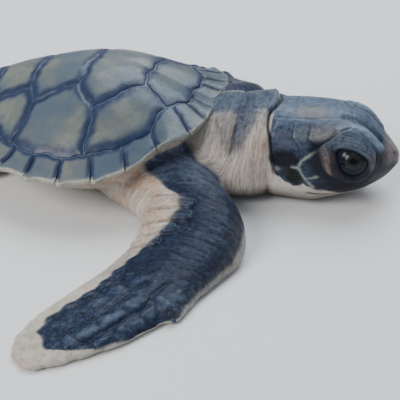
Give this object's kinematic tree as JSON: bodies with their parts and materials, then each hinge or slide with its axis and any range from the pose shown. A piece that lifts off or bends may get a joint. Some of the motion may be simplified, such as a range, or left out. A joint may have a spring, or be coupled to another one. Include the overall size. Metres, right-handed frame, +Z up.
{
  "type": "sea turtle hatchling",
  "caption": "Life-size still model of a flatback sea turtle hatchling lying on its belly, head forward, one front flipper swept back.",
  "frame": {"origin": "on the flat underside of the plastron, on the floor, under the middle of the belly", "axes": "+X towards the head, +Y to the animal's left, +Z up from the floor"},
  "size_m": [0.1009, 0.1153, 0.0226],
  "materials": {
    "skin": "wrinkled dark slate-blue skin with cream edges and underside, damp",
    "head_scales": "smooth horny head scales, grey-blue with tan patches, damp",
    "jaw_sheath": "horny cream jaw edge",
    "carapace_horn": "olive-grey horn plates, damp, with dark slate seams and a cream rim",
    "plastron_horn": "pale cream horn plates",
    "eye": "wet, almost black eye",
    "claw": "small blunt claw of blue-grey horn"
  },
  "bodies": {
    "root": {"trunk": "skin", "neck": "skin", "head": "head_scales", "lower_jaw": "jaw_sheath", "plastron": "plastron_horn", "eye_left": "eye", "claw_left": "claw", "front_flipper_left_arm": "skin", "front_flipper_left_blade": "skin", "rear_flipper_left": "skin", "costal_left_1": "carapace_horn", "costal_left_2": "carapace_horn", "costal_left_3": "carapace_horn", "costal_left_4": "carapace_horn", "marginal_left_1": "carapace_horn", "marginal_left_2": "carapace_horn", "marginal_left_3": "carapace_horn", "marginal_left_4": "carapace_horn", "marginal_left_5": "carapace_horn", "marginal_left_6": "carapace_horn", "marginal_left_7": "carapace_horn", "marginal_left_8": "carapace_horn", "marginal_left_9": "carapace_horn", "marginal_left_10": "carapace_horn", "marginal_left_11": "carapace_horn", "marginal_left_12": "carapace_horn", "eye_right": "eye", "claw_right": "claw", "front_flipper_right_arm": "skin", "front_flipper_right_blade": "skin", "rear_flipper_right": "skin", "costal_right_1": "carapace_horn", "costal_right_2": "carapace_horn", "costal_right_3": "carapace_horn", "costal_right_4": "carapace_horn", "marginal_right_1": "carapace_horn", "marginal_right_2": "carapace_horn", "marginal_right_3": "carapace_horn", "marginal_right_4": "carapace_horn", "marginal_right_5": "carapace_horn", "marginal_right_6": "carapace_horn", "marginal_right_7": "carapace_horn", "marginal_right_8": "carapace_horn", "marginal_right_9": "carapace_horn", "marginal_right_10": "carapace_horn", "marginal_right_11": "carapace_horn", "marginal_right_12": "carapace_horn", "vertebral_1": "carapace_horn", "vertebral_2": "carapace_horn", "vertebral_3": "carapace_horn", "vertebral_4": "carapace_horn", "vertebral_5": "carapace_horn", "nuchal": "carapace_horn", "tail": "skin"}
  },
  "joints": []
}
